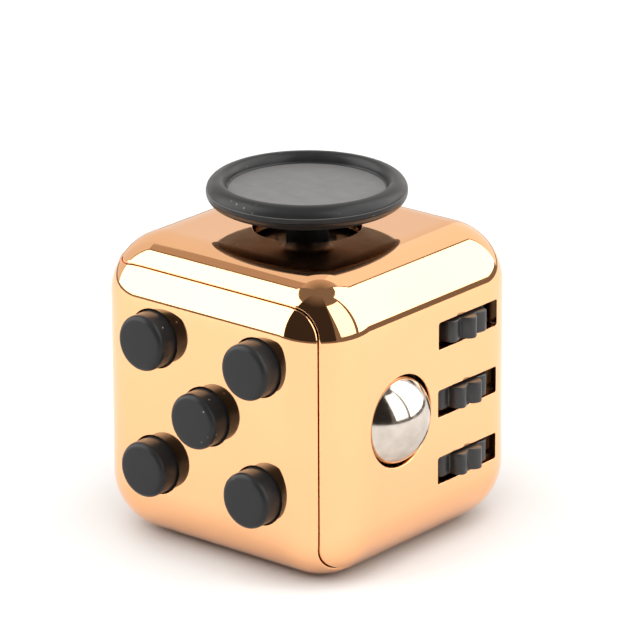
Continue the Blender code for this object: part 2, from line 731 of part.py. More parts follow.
def dial(mesh):
    """A turning disc in the left face's recess, with a round nub near its edge, held by a screw and a washer."""
    bottom = INNER + 0.2 * mm - HALF
    top = DIAL_TOP - HALF
    boss_end = DIAL_FLOOR_IN - 0.3 * mm - HALF
    rim = (DIAL_R - 0.5 * mm, top - 0.5 * mm)
    profile = [
        (0, top - 0.4 * mm),
        (DIAL_R - 2.0 * mm, top - 0.4 * mm),
        (DIAL_R - 1.6 * mm, top),
        *arc(rim, 0.5 * mm, 90, 0, 3),
        (DIAL_R, bottom),
        (1.5 * mm, bottom),
        (1.5 * mm, boss_end),
        (PILOT_R, boss_end),
        (PILOT_R, bottom + 1.0 * mm),
        (0, bottom + 1.0 * mm),
    ]
    disc = as_mesh(turned("dial", profile, BLACK, (-HALF, 0, HALF), LEFT, steps=32))
    high = 1.3 * mm
    nub = [(0, high), *arc((DIAL_NUB_R - high, 0), high, 80, 0, 3), (DIAL_NUB_R, -0.8 * mm), (0, -0.8 * mm)]
    nub_at = (-DIAL_TOP, 0, HALF + DIAL_NUB_AT)
    join(disc, turned("nub", nub, at=nub_at, along=LEFT, steps=16))
    smooth(disc)
    washer_r, washer_t = 3.4 * mm, 0.5 * mm
    washer = [(CLEAR_R, washer_t), (washer_r, washer_t), (washer_r, 0), (CLEAR_R, 0)]
    washer_x = -DIAL_FLOOR_IN + 0.4 * mm
    turned("dial_washer", washer, STEEL, (washer_x, 0, HALF), RIGHT, steps=16, ring=True)
    screw("dial_screw", mesh, (washer_x + washer_t + GAP, 0, HALF), LEFT)


# Back: rocker


def rocker_outline():
    """The rocker's side view about its pivot: outward along local X, and up along local Y."""
    top, dip, shoulder = 4.55 * mm, 3.75 * mm, 1.0 * mm
    stem, stem_end = 1.9 * mm, -4.2 * mm
    crown = [(dip + (top - dip) * t * t, ROCKER_HALF * t) for t in (-1, -0.66, -0.33, 0, 0.33, 0.66, 1)]
    under = [(shoulder, ROCKER_HALF), (-1.2 * mm, stem), (stem_end, stem)]
    return crown + under + [(x, -y) for x, y in under[::-1]]


def rocker():
    """The rocker, its pin, and the spring plunger in its stem. An empty on the pivot tilts what turns with it."""
    tilt = bpy.data.objects.new("rocker_pivot", None)
    PARTS.objects.link(tilt)
    tilt.location = PIVOT
    tilt.rotation_euler = (ROCKER_TILT, 0, 0)
    seesaw = as_mesh(outline("rocker", [rocker_outline()], ROCKER_WIDE, BLACK))
    seesaw.data.transform(Matrix(((0, 0, 1, 0), (1, 0, 0, 0), (0, 1, 0, 0), (0, 0, 0, 1))))
    stem_start, bore_top = -6 * mm, -1.1 * mm
    cut(seesaw, cylinder("pin_bore", PIN_R + GAP, (-10 * mm, 0, 0), RIGHT, 20 * mm, segments=16))
    cut(seesaw, cylinder("bore", 1.15 * mm, (0, stem_start, 0), BACK, bore_top - stem_start, segments=16))
    smooth(seesaw)
    head, tip, radius = -3.3 * mm, -5.55 * mm, 1.0 * mm
    nose = arc((0, -tip + head - radius), radius, 90, 0, 5)
    plunger = turned("rocker_plunger", [*nose, (radius, 0), (0, 0)], STEEL, (0, head, 0), FRONT, steps=16)
    spring_start = bore_top - GAP
    length = spring_start - head - GAP
    radii = (0.75 * mm, 0.75 * mm)
    spring = coil("rocker_spring", radii, 0.12 * mm, length, 4, (0, spring_start, 0), FRONT, per_turn=8)
    for piece in (seesaw, plunger, spring):
        piece.parent = tilt
    cylinder("rocker_pin", PIN_R, (-CHEEK_OUT, PIVOT.y, PIVOT.z), RIGHT, 2 * CHEEK_OUT, STEEL, segments=16)


def rocker_frame(mesh):
    """The rocker's inner frame: a base with the ridge that the plunger snaps over, and two cheeks for the pin."""
    high = FRAME_HALF_HIGH
    low = (-CHEEK_OUT, FRAME_BASE - FRAME_T, HALF - high)
    frame = box("rocker_frame", low, (CHEEK_OUT, FRAME_BASE, HALF + high), WHITE)
    for side in (1, -1):
        ends = sorted((side * CHEEK_IN, side * CHEEK_OUT))
        cheek_low = (ends[0], FRAME_BASE - 0.3 * mm, HALF - 3 * mm)
        join(frame, box("cheek", cheek_low, (ends[1], INNER - 0.3 * mm, HALF + 3 * mm)))
    ridge_r = 0.9 * mm
    profile = [(-0.4 * mm, -ridge_r), (0.35 * mm, 0), (-0.4 * mm, ridge_r)]
    ridge = as_mesh(outline("ridge", [profile], 2 * CHEEK_IN + 0.4 * mm))
    ridge.data.transform(Matrix(((0, 0, 1, 0), (1, 0, 0, FRAME_BASE), (0, 1, 0, HALF), (0, 0, 0, 1))))
    join(frame, ridge)
    pin_hole_start = (-10 * mm, PIVOT.y, PIVOT.z)
    cut(frame, cylinder("pin_hole", PIN_R + GAP, pin_hole_start, RIGHT, 20 * mm, segments=16))
    for name, side in (("upper", 1), ("lower", -1)):
        z = HALF + side * FRAME_SCREW_UP
        start = (0, FRAME_BASE - FRAME_T - 1 * mm, z)
        cut(frame, cylinder("hole", CLEAR_R, start, BACK, 4 * mm, segments=12))
        screw("frame_screw_" + name, mesh, (0, FRAME_BASE - FRAME_T - GAP, z), BACK)
    smooth(frame)


def main():
    short_screw = screw_mesh(4.4 * mm)
    glide_screw = screw_mesh(3.6 * mm)
    dial_screw = screw_mesh(3.2 * mm)
    lower_shell()
    upper_shell()
    buttons(short_screw)
    ball_and_cup()
    wheels()
    roll_bracket(short_screw)
    stick(short_screw)
    glide(glide_screw)
    dial(dial_screw)
    rocker()
    rocker_frame(short_screw)


main()
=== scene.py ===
"""The looks of the fidget cube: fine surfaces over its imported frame, materials, light and camera.

Every size is in metres. The case is a cube whose edges and corners are parts of cylinders and spheres, so its
normals are worked out exactly, and its plating mirrors the studio without a ripple.
"""

import json
import math

import bmesh
import bpy
from mathutils import Matrix, Vector

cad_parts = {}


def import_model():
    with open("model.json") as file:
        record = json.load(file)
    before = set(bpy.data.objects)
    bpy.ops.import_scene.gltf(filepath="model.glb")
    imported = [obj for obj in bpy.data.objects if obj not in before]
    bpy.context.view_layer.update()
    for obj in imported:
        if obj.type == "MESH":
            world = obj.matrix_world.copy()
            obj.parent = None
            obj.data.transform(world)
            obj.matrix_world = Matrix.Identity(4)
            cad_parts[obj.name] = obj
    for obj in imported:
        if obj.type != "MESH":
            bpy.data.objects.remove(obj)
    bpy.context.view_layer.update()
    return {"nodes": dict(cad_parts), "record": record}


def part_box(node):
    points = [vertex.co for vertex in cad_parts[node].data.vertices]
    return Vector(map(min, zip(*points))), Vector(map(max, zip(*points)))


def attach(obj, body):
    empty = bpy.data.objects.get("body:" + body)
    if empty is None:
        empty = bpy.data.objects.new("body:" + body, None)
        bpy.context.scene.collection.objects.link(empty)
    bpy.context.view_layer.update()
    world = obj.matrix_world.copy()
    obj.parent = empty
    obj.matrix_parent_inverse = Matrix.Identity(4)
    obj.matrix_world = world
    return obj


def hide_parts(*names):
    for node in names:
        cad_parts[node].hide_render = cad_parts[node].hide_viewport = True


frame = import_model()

mm = 0.001

# Case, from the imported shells
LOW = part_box("lower_half_shell")[0]
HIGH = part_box("upper_half_shell")[1]
CENTRE = (LOW + HIGH) / 2
HALF = (HIGH.x - LOW.x) / 2
EDGE_RADIUS = 6.8 * mm
WALL = 1.6 * mm
INNER = HALF - WALL
DIAGONAL = Vector((1, 1, 1))
SEAM_SHIFT = -0.58 * mm
SEAM_GAP = 0.15 * mm
SEAM_CORNER = 5.8 * mm
SEAM_REACH = 30 * mm
SEAM_ROUND = 0.2 * mm
EDGE_ROUND = 0.18 * mm
BUTTON_HOLE_ROUND = 0.1 * mm
MOUTH_LIFT = 0.02 * mm

# How far the cutters reach out of the case and into it
CUT_OUT = 1 * mm
CUT_IN = 4 * mm
SLOT_CUT_IN = 5 * mm

# The skin is where a point lies no deeper than this
ON_SKIN = 8e-6
CASE_STEPS = 32

# Openings
BUTTON_HOLE_R = 3.3 * mm
STICK_HOLE_R = 5.9 * mm
BALL_HOLE_R = 5.1 * mm
BALL_GAP = 0.15 * mm
BALL_SEAT_END = 10
SLOT_WIDE = 10.2 * mm
SLOT_HIGH = 3.0 * mm
SLOT_CORNER = 0.25 * mm
WINDOW_WIDE = 6.5 * mm
WINDOW_HIGH = 14.2 * mm
DIAL_RECESS_R = 9.3 * mm
DIAL_FLOOR_R = 10.8 * mm
DIAL_FLOOR_IN = 13.9 * mm
DIAL_FLOOR_OVERLAP = 0.4 * mm
DIAL_AXLE_HOLE_R = 1.7 * mm
DIAL_AXLE_HOLE_STEPS = 70
DISH_R = 9.0 * mm
DISH_DEEP = 1.8 * mm

# Moving pieces
BUTTON_R = 3.1 * mm
BUTTON_EDGE = 0.6 * mm
FLANGE_TOP = -WALL - 0.3 * mm
FLANGE_UNDER = -WALL - 1.1 * mm
CLICK_STEM_R = 1.4 * mm
QUIET_STEM_R = 1.1 * mm
WHEEL_TEETH = 11
WHEEL_ROOT_R = 4.1 * mm
WHEEL_R = 5.0 * mm
AXLE_HOLE_R = 1.0 * mm
WHEEL_EDGE = 0.16 * mm
WHEEL_PHASES = {"wheel_upper": -4, "wheel_middle": 10, "wheel_lower": 12}
STICK_RIM_R = 1.35 * mm
STICK_RIM_INSIDE = 0.85 * mm
STICK_RECESS = 1.15 * mm
PARTING_ANGLE = -16
PARTING_GROOVE = 0.05 * mm
POST_R = 2.3 * mm
DIAL_TOP = 18.0 * mm
DIAL_NUB_R = 2.3 * mm
DIAL_NUB_AT = 5.4 * mm
ROCKER_TILT = math.radians(-12)
ROCKER_EDGE = 0.35 * mm

# Camera
CAMERA_AZIMUTH = math.radians(39.8)
CAMERA_ELEVATION = math.radians(20.2)
CAMERA_ROLL = math.radians(-0.29)
CAMERA_DISTANCE = 537 * mm
CAMERA_LENS = 278
SENSOR_WIDE = 36
AIM_RIGHT = 1.32 * mm
AIM_UP = 5.84 * mm

UP = Vector((0, 0, 1))
FRONT, BACK = Vector((0, -1, 0)), Vector((0, 1, 0))
LEFT, RIGHT = Vector((-1, 0, 0)), Vector((1, 0, 0))


# Mesh helpers


def add(name, mesh):
    obj = bpy.data.objects.new(name, mesh)
    bpy.context.scene.collection.objects.link(obj)
    return obj


def from_bmesh(name, bm):
    mesh = bpy.data.meshes.new(name)
    bm.to_mesh(mesh)
    bm.free()
    return add(name, mesh)


def place(obj, at, along=UP):
    """Moves the object's mesh so that its origin is at a point and its +Z runs in a direction."""
    turn = Vector(along).to_track_quat("Z", "Y").to_matrix().to_4x4()
    obj.data.transform(Matrix.Translation(at) @ turn)
    return obj


def applied(obj):
    bpy.context.view_layer.update()
    graph = bpy.context.evaluated_depsgraph_get()
    mesh = bpy.data.meshes.new_from_object(obj.evaluated_get(graph))
    obj.modifiers.clear()
    obj.data = mesh
    return obj


def boolean(target, tool, operation):
    modifier = target.modifiers.new("cut", "BOOLEAN")
    modifier.operation = operation
    modifier.object = tool
    applied(target)
    bpy.data.objects.remove(tool)
    return target


def cut(target, *tools):
    for tool in tools:
        boolean(target, tool, "DIFFERENCE")
    return target


def join(target, *tools):
    for tool in tools:
        boolean(target, tool, "UNION")
    return target


def smooth(obj, degrees=35):
    obj.data.shade_smooth()
    obj.data.set_sharp_from_angle(angle=math.radians(degrees))
    return obj


def rounded(obj, width, segments, degrees):
    """Rounds every edge sharper than an angle."""
    bevel = obj.modifiers.new("round", "BEVEL")
    bevel.width = width
    bevel.segments = segments
    bevel.limit_method = "ANGLE"
    bevel.angle_limit = math.radians(degrees)
    return applied(obj)


def arc(centre, radius, start, end, count):
    """Points of a profile along an arc, with angles in degrees from the +radius direction."""
    angles = [math.radians(start + (end - start) * i / (count - 1)) for i in range(count)]
    return [(centre[0] + radius * math.cos(a), centre[1] + radius * math.sin(a)) for a in angles]


def turned(name, profile, at, along=UP, steps=96):
    """A profile of (radius, height) points, from top to bottom down its outer side, turned round +Z."""
    mesh = bpy.data.meshes.new(name)
    mesh.from_pydata([(r, 0, z) for r, z in profile], [(i, i + 1) for i in range(len(profile) - 1)], [])
    obj = add(name, mesh)
    screw = obj.modifiers.new("turn", "SCREW")
    screw.steps = screw.render_steps = steps
    screw.use_merge_vertices = True
    screw.merge_threshold = 1e-6
    return place(smooth(applied(obj)), at, along)


def prism(name, outline, low, high):
    """A closed outline in XY, pulled up from one height to another."""
    bm = bmesh.new()
    bottom = [bm.verts.new((x, y, low)) for x, y in outline]
    face = bm.faces.new(bottom)
    pulled = bmesh.ops.extrude_face_region(bm, geom=[face])
    tops = [v for v in pulled["geom"] if isinstance(v, bmesh.types.BMVert)]
    bmesh.ops.translate(bm, verts=tops, vec=(0, 0, high - low))
    bmesh.ops.recalc_face_normals(bm, faces=bm.faces)
    return from_bmesh(name, bm)


# Case


def rounded_cube(name, half, radius, steps):
    """A cube with every edge a quarter of a cylinder and every corner an eighth of a sphere."""
    bm = bmesh.new()
    bmesh.ops.create_cube(bm, size=2 * half)
    bmesh.ops.bevel(
        bm, geom=bm.edges[:], offset=radius, segments=steps, profile=0.5, affect="EDGES", clamp_overlap=False
    )
    core = half - radius
    for vert in bm.verts:
        middle = Vector([max(-core, min(core, c)) for c in vert.co])
        vert.co = middle + (vert.co - middle).normalized() * radius
    bmesh.ops.translate(bm, verts=bm.verts, vec=CENTRE)
    return from_bmesh(name, bm)


def skin_offset(point):
    """The vector from the case's inner core to a point; its length is EDGE_RADIUS on the outer skin."""
    core = HALF - EDGE_RADIUS
    centred = point - CENTRE
    return centred - Vector([max(-core, min(core, c)) for c in centred])


def depth(point):
    return EDGE_RADIUS - skin_offset(point).length


def seam_loop():
    """The seam's closed line on a large cube round the case, which runs along six of its edges."""
    signs = [(-1, -1, 1), (1, -1, 1), (1, -1, -1), (1, 1, -1), (-1, 1, -1), (-1, 1, 1)]
    corners = [SEAM_REACH * Vector(s) for s in signs]
    corner_steps, edge_steps = 12, 20
    points = []
    for i, corner in enumerate(corners):
        before = (corners[i - 1] - corner).normalized()
        after = (corners[(i + 1) % 6] - corner).normalized()
        middle = corner + SEAM_CORNER * (before + after)
        for step in range(corner_steps + 1):
            a = math.radians(90 * step / corner_steps)
            points.append(middle - SEAM_CORNER * (after * math.cos(a) + before * math.sin(a)))
        start = points[-1]
        run = 2 * SEAM_REACH - 2 * SEAM_CORNER
        for step in range(1, edge_steps):
            points.append(start + after * run * step / edge_steps)
    return points


def cone(apex, points):
    """The lower side of a cone, from its apex through a closed line of points and well past them."""
    far_corner = -1.5 * SEAM_REACH * DIAGONAL
    bm = bmesh.new()
    top = bm.verts.new(apex)
    bottom = bm.verts.new(far_corner)
    rim = [bm.verts.new(apex + 2 * (p - apex)) for p in points]
    for a, b in zip(rim, rim[1:] + rim[:1]):
        bm.faces.new((top, a, b))
        bm.faces.new((bottom, b, a))
    bmesh.ops.recalc_face_normals(bm, faces=bm.faces)
    bmesh.ops.translate(bm, verts=bm.verts, vec=CENTRE)
    return from_bmesh("cone", bm)


def seam_on_skin():
    """The seam's line on the case itself, measured from the case's middle."""
    start = SEAM_SHIFT * DIAGONAL
    points = []
    for far in seam_loop():
        inside, outside = 0.0, 1.0
        for _ in range(40):
            middle = (inside + outside) / 2
            if depth(CENTRE + start + middle * far) > 0:
                inside = middle
            else:
                outside = middle
        points.append(start + inside * far)
    return points


def split(shell, side):
    """Keeps one side of the seam (-1 lower, 1 upper), with the edge along the seam broken."""
    line = seam_on_skin()
    gap = side * SEAM_GAP / 2
    step = DIAGONAL / math.sqrt(2)
    operation = "INTERSECT" if side < 0 else "DIFFERENCE"
    boolean(shell, cone(SEAM_SHIFT * DIAGONAL + step * gap, [p + step * gap for p in line]), operation)
    tilt = 15 * mm
    edge = gap + side * SEAM_ROUND
    return boolean(shell, cone(-side * tilt * DIAGONAL, [p + step * edge for p in line]), operation)


def hollow(shell):
    return cut(shell, rounded_cube("hollow", INNER, EDGE_RADIUS - WALL, 8))


def flare(name, radius, face_centre, outward, edge=EDGE_ROUND):
    """A cutter for a round hole through a face, with a small rounded mouth that ends just above the face."""
    mouth = arc((radius + edge, MOUTH_LIFT - edge), edge, 90, 180, 4)
    profile = [(0, CUT_OUT), (radius + edge, CUT_OUT), *mouth, (radius, -CUT_IN), (0, -CUT_IN)]
    return turned(name, profile, face_centre, outward)


def rounded_rectangle(wide, high, corner, z):
    """Points round a rectangle with round corners, all at one height."""
    points = []
    for x, y, start in ((1, 1, 0), (-1, 1, 90), (-1, -1, 180), (1, -1, 270)):
        centre = (x * (wide / 2 - corner), y * (high / 2 - corner))
        points += [(px, py, z) for px, py in arc(centre, corner, start, start + 90, 5)]
    return points


def slot_cutter(name, centre, outward, across, wide, high):
    """A cutter for an oblong opening with a small rounded mouth; across is the direction of its width."""
    mouth = arc((EDGE_ROUND, MOUTH_LIFT - EDGE_ROUND), EDGE_ROUND, 180, 90, 4)
    sections = [(0, -SLOT_CUT_IN), *mouth, (EDGE_ROUND, CUT_OUT)]
    rings = []
    for grow, z in sections:
        rings.append(rounded_rectangle(wide + 2 * grow, high + 2 * grow, SLOT_CORNER + grow, z))
    count = len(rings[0])
    faces = [tuple(range(count)), tuple(range((len(rings) - 1) * count, len(rings) * count))]
    for ring in range(len(rings) - 1):
        for i in range(count):
            a, b = ring * count + i, ring * count + (i + 1) % count
            faces.append((a, b, b + count, a + count))
    bm = bmesh.new()
    verts = [bm.verts.new(p) for ring in rings for p in ring]
    for face in faces:
        bm.faces.new([verts[i] for i in face])
    bmesh.ops.recalc_face_normals(bm, faces=bm.faces)
    turn = Matrix((across, Vector(outward).cross(across), outward)).transposed().to_4x4()
    bmesh.ops.transform(bm, matrix=Matrix.Translation(centre) @ turn, verts=bm.verts)
    return from_bmesh(name, bm)


def plated_normals(shell):
    """Gives the outer skin its exact normals, and bends them over the broken edges."""
    mesh = shell.data
    smooth(shell)
    depths = [depth(v.co) for v in mesh.vertices]
    exact = [skin_offset(v.co).normalized() for v in mesh.vertices]
    normals = [n.vector.copy() for n in mesh.corner_normals]
    for face in mesh.polygons:
        shallow = min(depths[v] for v in face.vertices)
        deep = max(depths[v] for v in face.vertices)
        if deep > 1.6 * SEAM_ROUND or shallow > ON_SKIN:
            continue
        for corner in face.loop_indices:
            vert = mesh.loops[corner].vertex_index
            if depths[vert] < ON_SKIN:
                normals[corner] = exact[vert]
    mesh.normals_split_custom_set(normals)
    return shell


def face_point(outward, offset=(0, 0, 0)):
    return CENTRE + Vector(outward) * HALF + Vector(offset)


def middle_of(node):
    low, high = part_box(node)
    return (low + high) / 2


BUTTONS = [n for n in frame["nodes"] if n.startswith("button_")]


def lower_case():
    shell = hollow(rounded_cube("case_lower", HALF, EDGE_RADIUS, CASE_STEPS))
    for name in BUTTONS:
        centre = middle_of(name)
        at = (centre.x, -HALF, centre.z)
        cut(shell, flare("button_hole", BUTTON_HOLE_R, at, FRONT, BUTTON_HOLE_ROUND))
    floor_top = -INNER - DIAL_FLOOR_OVERLAP
    floor_deep = floor_top + DIAL_FLOOR_IN
    disc = [(0, 0), (DIAL_FLOOR_R, 0), (DIAL_FLOOR_R, floor_deep), (0, floor_deep)]
    join(shell, turned("dial_floor", disc, (floor_top, 0, CENTRE.z), LEFT))
    mouth = DIAL_RECESS_R + EDGE_ROUND
    recess = [
        (0, CUT_OUT),
        (mouth, CUT_OUT),
        *arc((mouth, MOUTH_LIFT - EDGE_ROUND), EDGE_ROUND, 90, 180, 4),
        (DIAL_RECESS_R, -WALL),
        (0, -WALL),
    ]
    cut(shell, turned("dial_recess", recess, face_point(LEFT), LEFT))
    bore = [(0, 9 * mm), (DIAL_AXLE_HOLE_R, 9 * mm), (DIAL_AXLE_HOLE_R, 0), (0, 0)]
    cut(shell, turned("axle_hole", bore, (-8 * mm, 0, CENTRE.z), LEFT, DIAL_AXLE_HOLE_STEPS))
    curve = (DISH_R**2 + DISH_DEEP**2) / (2 * DISH_DEEP)
    edge = math.degrees(math.acos(DISH_R / curve))
    bowl = arc((0, DISH_DEEP - curve), curve, 90, edge, 24)
    skirt = [(DISH_R + 0.6 * mm, WALL / 2), (0, WALL / 2)]
    inside = [(r, z + WALL) for r, z in bowl[:-1]] + skirt
    join(shell, turned("dome", inside, (0, 0, 0)))
    below = [(DISH_R + 0.4 * mm, -0.15 * mm), (DISH_R, -2 * mm), (0, -2 * mm)]
    cut(shell, turned("dish", [*bowl, *below], (0, 0, 0)))
    return finish_case(split(shell, -1), "case", "lower_half_shell")


def upper_case():
    shell = hollow(rounded_cube("case_upper", HALF, EDGE_RADIUS, CASE_STEPS))
    cut(shell, flare("stick_hole", STICK_HOLE_R, face_point(UP), UP))
    ball = middle_of("ball")
    cut(shell, ball_hole(ball))
    for name in WHEEL_PHASES:
        centre = middle_of(name)
        at = (HALF, centre.y, centre.z)
        cut(shell, slot_cutter("slot", at, RIGHT, BACK, SLOT_WIDE, SLOT_HIGH))
    cut(shell, slot_cutter("window", face_point(BACK), BACK, LEFT, WINDOW_WIDE, WINDOW_HIGH))
    return finish_case(split(shell, 1), "case", "upper_half_shell")


def ball_hole(ball):
    """The ball's seat: part of a sphere that narrows to the hole, with a rounded mouth."""
    radius = (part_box("ball")[1].x - ball.x) + BALL_GAP
    face = HALF - ball.x + MOUTH_LIFT
    mouth = BALL_HOLE_R + EDGE_ROUND
    start = math.degrees(math.acos(BALL_HOLE_R / radius))
    profile = [
        (0, 6 * mm),
        (mouth, 6 * mm),
        *arc((mouth, face - EDGE_ROUND), EDGE_ROUND, 90, 180, 4),
        *arc((0, 0), radius, start - 1, BALL_SEAT_END, 12),
        (0, radius * math.sin(math.radians(BALL_SEAT_END))),
    ]
    return turned("ball_hole", profile, ball, RIGHT)


def finish_case(shell, body, node):
    plated_normals(shell)
    shell.data.materials.clear()
    shell.data.materials.append(plating())
    return stand_for(shell, body, "plated_plastic", node)


def stand_for(piece, body, finish, *nodes):
    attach(piece, body)
    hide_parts(*nodes)
    return piece


def dress(piece, material):
    piece.data.materials.clear()
    piece.data.materials.append(material)
    return piece


# Moving pieces


def button(node):
    low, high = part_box(node)
    centre = (low + high) / 2
    out = -HALF - low.y
    flange_r = (high.x - low.x) / 2
    clicks = ("switch" + node.removeprefix("button")) in frame["nodes"]
    stem_r = CLICK_STEM_R if clicks else QUIET_STEM_R
    profile = [
        (0, out),
        (1.2 * mm, out - 0.005 * mm),
        (2.2 * mm, out - 0.03 * mm),
        *arc((BUTTON_R - BUTTON_EDGE, out - BUTTON_EDGE - 0.04 * mm), BUTTON_EDGE, 86, 0, 10),
        (BUTTON_R, FLANGE_TOP),
        (flange_r, FLANGE_TOP),
        (flange_r, FLANGE_UNDER),
        (stem_r, FLANGE_UNDER),
        (stem_r, -HALF - high.y),
        (0, -HALF - high.y),
    ]
    piece = turned("cap_" + node, profile, (centre.x, -HALF, centre.z), FRONT)
    return stand_for(dress(piece, rubber()), node, "black_rubber", node)


def stick():
    low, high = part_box("stick_cap")
    outer = (high.x - low.x) / 2
    crest = high.z
    ring = (outer - STICK_RIM_R, crest - STICK_RIM_R)
    floor = crest - STICK_RECESS
    inside = []
    for degrees in range(174, 90, -6):
        a = math.radians(degrees)
        inside.append((ring[0] + STICK_RIM_INSIDE * math.cos(a), ring[1] + STICK_RIM_R * math.sin(a)))
    corner = 0.3 * mm
    under = crest - 2 * STICK_RIM_R
    profile = [
        (0, floor),
        *arc((inside[0][0] - corner, floor + corner), corner, -90, 0, 7),
        *inside,
        *arc(ring, STICK_RIM_R, 90, PARTING_ANGLE + 2, 32),
        *arc(ring, STICK_RIM_R - PARTING_GROOVE, PARTING_ANGLE + 1, PARTING_ANGLE - 1, 3),
        *arc(ring, STICK_RIM_R, PARTING_ANGLE - 2, -80, 16),
        (ring[0] - 1.2 * mm, under + 0.02 * mm),
        (5.2 * mm, under - 0.05 * mm),
        *arc((POST_R + 0.8 * mm, under - 0.95 * mm), 0.8 * mm, 90, 180, 6),
        (POST_R, low.z),
        (1.0 * mm, low.z),
        (1.0 * mm, low.z + 3 * mm),
        (0, low.z + 3 * mm),
    ]
    piece = dress(turned("stick_disc_and_post", profile, (0, 0, 0), UP, 160), rubber())
    # A second, lighter rubber for the recess floor only: painted sheen in place of its grazing reflection
    piece.data.materials.append(painted_sheen_rubber())
    for face in piece.data.polygons:
        if abs(face.center.z - floor) < 0.02 * mm:
            face.material_index = 1
    return stand_for(piece, "stick", "black_rubber", "stick_cap")


def wheel_outline():
    """Wide round teeth with narrow valleys between them."""
    count = WHEEL_TEETH * 24
    points = []
    for i in range(count):
        a = 2 * math.pi * i / count
        wave = 0.5 + 0.5 * math.cos(WHEEL_TEETH * a)
        radius = WHEEL_ROOT_R + (WHEEL_R - WHEEL_ROOT_R) * wave**0.55
        points.append((radius * math.cos(a), radius * math.sin(a)))
    return points


def wheel(node):
    low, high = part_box(node)
    half = (high.z - low.z) / 2
    piece = prism("teeth_" + node, wheel_outline(), -half, half)
    bore = [(0, 2 * half), (AXLE_HOLE_R, 2 * half), (AXLE_HOLE_R, -2 * half), (0, -2 * half)]
    cut(piece, turned("bore", bore, (0, 0, 0)))
    rounded(piece, WHEEL_EDGE, 3, 60)
    turn = Matrix.Rotation(math.radians(WHEEL_PHASES[node]), 4, "Z")
    axis = middle_of("wheel_axle")
    piece.data.transform(Matrix.Translation((axis.x, axis.y, (low.z + high.z) / 2)) @ turn)
    smooth(piece, 40)
    return stand_for(dress(piece, black_plastic()), node, "black_plastic", node)


def ball():
    low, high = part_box("ball")
    radius = (high.z - low.z) / 2
    bm = bmesh.new()
    bmesh.ops.create_uvsphere(bm, u_segments=96, v_segments=64, radius=radius)
    piece = place(from_bmesh("rolling_ball", bm), (low + high) / 2)
    piece.data.shade_smooth()
    return stand_for(dress(piece, ball_steel()), "ball", "polished_steel", "ball")


def dial():
    low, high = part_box("dial")
    radius = (high.z - low.z) / 2
    rim = (radius - 0.5 * mm, -0.5 * mm)
    bottom = INNER + 0.2 * mm - DIAL_TOP
    boss_end = -high.x - DIAL_TOP
    profile = [
        (0, -0.4 * mm),
        (radius - 2.1 * mm, -0.4 * mm),
        *arc((radius - 2.1 * mm, -0.2 * mm), 0.2 * mm, -90, -30, 4),
        *arc((radius - 1.5 * mm, -0.2 * mm), 0.2 * mm, 150, 90, 4),
        *arc(rim, 0.5 * mm, 90, 0, 10),
        (radius, bottom),
        (1.5 * mm, bottom),
        (1.5 * mm, boss_end),
        (0.9 * mm, boss_end),
        (0.9 * mm, bottom + 1 * mm),
        (0, bottom + 1 * mm),
    ]
    piece = turned("dial_disc", profile, (-DIAL_TOP, 0, CENTRE.z), LEFT, 128)
    nub_high = -low.x - DIAL_TOP
    crown = arc((DIAL_NUB_R - nub_high, 0), nub_high, 86, 0, 12)
    nub = [(0, nub_high), *crown, (DIAL_NUB_R, -0.8 * mm), (0, -0.8 * mm)]
    join(piece, turned("nub", nub, (-DIAL_TOP, 0, CENTRE.z + DIAL_NUB_AT), LEFT, 64))
    return stand_for(dress(smooth(piece), black_plastic()), "dial", "black_plastic", "dial")


def rocker():
    low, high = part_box("rocker")
    half_wide = (high.x - low.x) / 2
    pivot = middle_of("rocker_pin")
    tall, top, dip = 6.0 * mm, 4.55 * mm, 3.75 * mm
    crown = [(dip + (top - dip) * t * t, tall * t) for t in [i / 12 for i in range(-12, 13)]]
    under = [(1.0 * mm, tall), (-1.2 * mm, 1.9 * mm), (-4.2 * mm, 1.9 * mm)]
    outline = crown + under + [(x, -y) for x, y in under[::-1]]
    piece = prism("rocker_cap", outline, -half_wide, half_wide)
    piece.data.transform(Matrix(((0, 0, 1, 0), (1, 0, 0, 0), (0, 1, 0, 0), (0, 0, 0, 1))))
    rounded(piece, ROCKER_EDGE, 4, 35)
    for radius, direction, start in ((0.8 * mm, RIGHT, (-5 * mm, 0, 0)), (1.15 * mm, BACK, (0, -6 * mm, 0))):
        length = 10 * mm if direction is RIGHT else 4.9 * mm
        bore = [(0, length), (radius, length), (radius, 0), (0, 0)]
        cut(piece, turned("bore", bore, start, direction, 48))
    piece.data.transform(Matrix.Translation(pivot) @ Matrix.Rotation(ROCKER_TILT, 4, "X"))
    return stand_for(dress(smooth(piece), black_plastic()), "rocker", "black_plastic", "rocker")


# Materials


